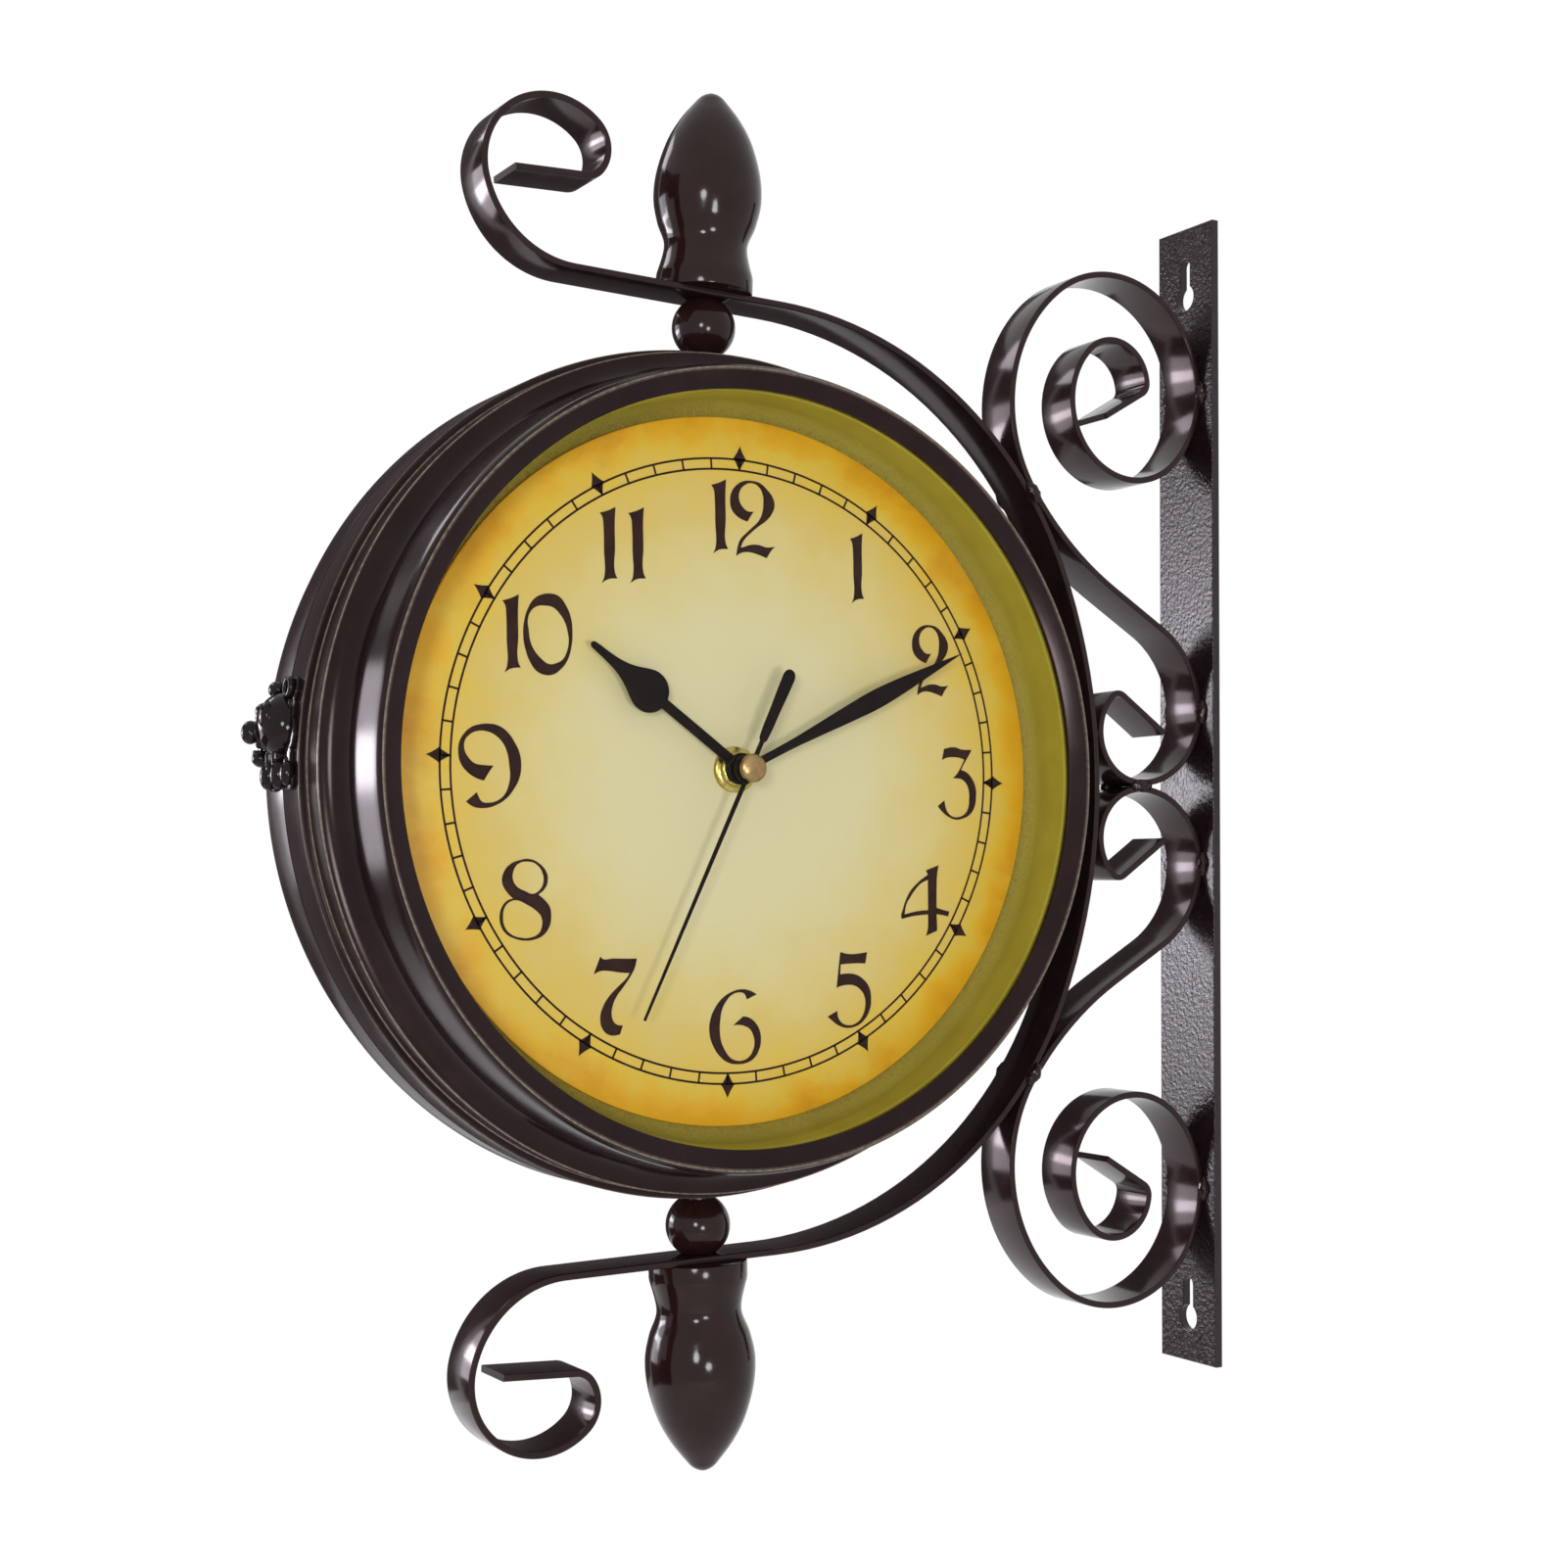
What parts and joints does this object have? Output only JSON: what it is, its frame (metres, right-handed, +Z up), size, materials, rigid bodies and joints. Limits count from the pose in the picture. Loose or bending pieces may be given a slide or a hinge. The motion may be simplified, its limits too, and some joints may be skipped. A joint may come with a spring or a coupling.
{
  "type": "double-sided wall clock",
  "caption": "Round two-faced clock that swivels between turned finials on a scrolled flat-bar bracket with a keyhole wall plate; the case parts and hinges open behind a clasp.",
  "frame": {"origin": "middle of the wall plate's back face, on the wall", "axes": "+X into the wall, so the clock reaches out along -X; +Z up; the front dial faces -Y"},
  "size_m": [0.3141, 0.0932, 0.3996],
  "materials": {
    "bracket_paint": "gloss enamel, hammered on the plate",
    "turned_paint": "gloss enamel",
    "case_paint": "gloss enamel",
    "plain_steel": "plain",
    "clasp_metal": "black nickel gloss",
    "brass": "bright",
    "wheel_brass": "satin",
    "glass": "clear",
    "pan_paint": "satin olive",
    "dial_face": "printed, aged cream to gold",
    "movement_plastic": "black, fine grain",
    "battery_jacket": "plain",
    "hand_paint": "black"
  },
  "bodies": {
    "bracket": {"wall_plate": "bracket_paint", "main_arm": "bracket_paint", "upper_scroll": "bracket_paint", "lower_scroll": "bracket_paint", "weld_beads": "bracket_paint", "upper_finial": "turned_paint", "lower_finial": "turned_paint", "upper_ball": "turned_paint", "lower_ball": "turned_paint", "upper_pivot_bolt": "plain_steel", "lower_pivot_bolt": "plain_steel"},
    "front_half": {"front_case": "case_paint", "pivot_bushes": "brass", "case_hinge_front_leaf": "case_paint", "case_hinge_pin": "plain_steel", "clasp_front_plate": "clasp_metal", "front_rivets": "plain_steel", "front_glass": "glass", "front_dial_pan": "pan_paint", "front_dial": "dial_face", "front_dial_nut": "brass", "front_movement_case": "movement_plastic", "front_movement_cover": "movement_plastic", "front_battery": "battery_jacket"},
    "rear_half": {"rear_case": "case_paint", "case_hinge_rear_leaf": "case_paint", "clasp_rear_plate": "clasp_metal", "clasp_pin": "plain_steel", "rear_rivets": "plain_steel", "rear_glass": "glass", "rear_dial_pan": "pan_paint", "rear_dial": "dial_face", "rear_dial_nut": "brass", "rear_movement_case": "movement_plastic", "rear_movement_cover": "movement_plastic", "rear_battery": "battery_jacket"},
    "clasp": {"clasp_hasp": "clasp_metal"},
    "front_seconds": {"front_second_wheel": "wheel_brass", "front_second_hand": "hand_paint", "front_hand_cap": "brass"},
    "front_minutes": {"front_minute_wheel": "wheel_brass", "front_minute_hand": "hand_paint"},
    "front_hours": {"front_hour_wheel": "wheel_brass", "front_hour_hand": "hand_paint"},
    "front_setting": {"front_set_knob": "movement_plastic"},
    "rear_seconds": {"rear_second_wheel": "wheel_brass", "rear_second_hand": "hand_paint", "rear_hand_cap": "brass"},
    "rear_minutes": {"rear_minute_wheel": "wheel_brass", "rear_minute_hand": "hand_paint"},
    "rear_hours": {"rear_hour_wheel": "wheel_brass", "rear_hour_hand": "hand_paint"},
    "rear_setting": {"rear_set_knob": "movement_plastic"}
  },
  "joints": [
    {"name": "case_swivel", "type": "hinge", "parent": "bracket", "child": "front_half", "pos_m": [-0.182, 0, 0], "axis": [0, 0, 1], "continuous": true},
    {"name": "rear_half_open", "type": "hinge", "parent": "front_half", "child": "rear_half", "pos_m": [-0.0574, 0.008, 0], "axis": [0, 0, -1], "range_deg": [0, 90]},
    {"name": "clasp_turn", "type": "hinge", "parent": "rear_half", "child": "clasp", "pos_m": [-0.30699, 0.0171, 0.00721], "axis": [-0.0576, 0, -0.9983], "range_deg": [0, 100]},
    {"name": "front_seconds_turn", "type": "hinge", "parent": "front_half", "child": "front_seconds", "pos_m": [-0.182, 0, 0], "axis": [0, 1, 0], "continuous": true},
    {"name": "front_minutes_turn", "type": "hinge", "parent": "front_half", "child": "front_minutes", "pos_m": [-0.182, 0, 0], "axis": [0, 1, 0], "continuous": true},
    {"name": "front_hours_turn", "type": "hinge", "parent": "front_half", "child": "front_hours", "pos_m": [-0.182, 0, 0], "axis": [0, 1, 0], "continuous": true},
    {"name": "front_setting_turn", "type": "hinge", "parent": "front_half", "child": "front_setting", "pos_m": [-0.182, 0, 0.0161], "axis": [0, 1, 0], "continuous": true},
    {"name": "rear_seconds_turn", "type": "hinge", "parent": "rear_half", "child": "rear_seconds", "pos_m": [-0.182, 0.016, 0], "axis": [0, -1, 0], "continuous": true},
    {"name": "rear_minutes_turn", "type": "hinge", "parent": "rear_half", "child": "rear_minutes", "pos_m": [-0.182, 0.016, 0], "axis": [0, -1, 0], "continuous": true},
    {"name": "rear_hours_turn", "type": "hinge", "parent": "rear_half", "child": "rear_hours", "pos_m": [-0.182, 0.016, 0], "axis": [0, -1, 0], "continuous": true},
    {"name": "rear_setting_turn", "type": "hinge", "parent": "rear_half", "child": "rear_setting", "pos_m": [-0.182, 0.016, 0.0161], "axis": [0, -1, 0], "continuous": true}
  ],
  "couplings": [
    {"joint": "front_minutes_turn", "follows": "front_seconds_turn", "ratio": 0.016667},
    {"joint": "front_hours_turn", "follows": "front_seconds_turn", "ratio": 0.0013889},
    {"joint": "front_setting_turn", "follows": "front_seconds_turn", "ratio": -0.016667},
    {"joint": "rear_minutes_turn", "follows": "rear_seconds_turn", "ratio": 0.016667},
    {"joint": "rear_hours_turn", "follows": "rear_seconds_turn", "ratio": 0.0013889},
    {"joint": "rear_setting_turn", "follows": "rear_seconds_turn", "ratio": -0.016667}
  ]
}
